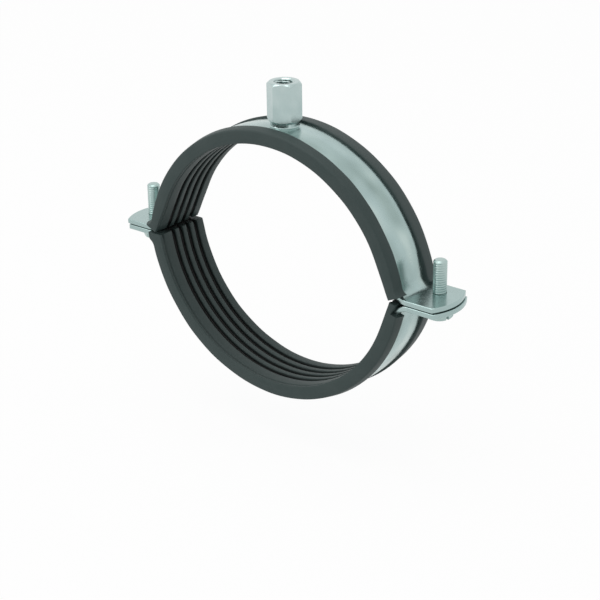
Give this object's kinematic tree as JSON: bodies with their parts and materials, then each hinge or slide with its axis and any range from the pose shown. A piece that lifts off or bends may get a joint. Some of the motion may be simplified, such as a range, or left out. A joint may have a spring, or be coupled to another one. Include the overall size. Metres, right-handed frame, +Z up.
{
  "type": "rubber lined pipe clamp",
  "caption": "Two-part steel pipe clamp with ribbed rubber linings, a welded hexagon boss for a threaded rod and clamping screws in its ears.",
  "frame": {"origin": "on the boss's axis, half way across the band, in the plane where the two halves meet", "axes": "+X from ear to ear, +Y along the pipe, +Z up through the threaded boss towards the rod"},
  "size_m": [0.1755, 0.0284, 0.1385],
  "materials": {
    "band_steel": "bright zinc plated",
    "boss_steel": "bright zinc plated",
    "lining_rubber": "matt moulded rubber",
    "screw_steel": "zinc plated"
  },
  "bodies": {
    "upper_half": {"upper_band": "band_steel", "boss_nut": "boss_steel", "upper_lining": "lining_rubber"},
    "lower_half": {"lower_band": "band_steel", "lower_lining": "lining_rubber"},
    "right_screw": {"right_screw": "screw_steel"},
    "left_screw": {"left_screw": "screw_steel"}
  },
  "joints": [
    {"name": "clamp_opening", "type": "slide", "parent": "upper_half", "child": "lower_half", "axis": [0, 0, -1], "range_m": [0, 0.013]},
    {"name": "right_screw_turn", "type": "hinge", "parent": "lower_half", "child": "right_screw", "pos_m": [0.0768, 0.0037, 0], "axis": [0, 0, -1], "range_deg": [0, 4681]},
    {"name": "left_screw_turn", "type": "hinge", "parent": "lower_half", "child": "left_screw", "pos_m": [-0.0793, 0.0008, 0], "axis": [0, 0, -1], "range_deg": [0, 4681]}
  ],
  "couplings": [
    {"joint": "right_screw_turn", "follows": "clamp_opening", "rad_per_m": 6283.2},
    {"joint": "left_screw_turn", "follows": "clamp_opening", "rad_per_m": 6283.2}
  ]
}
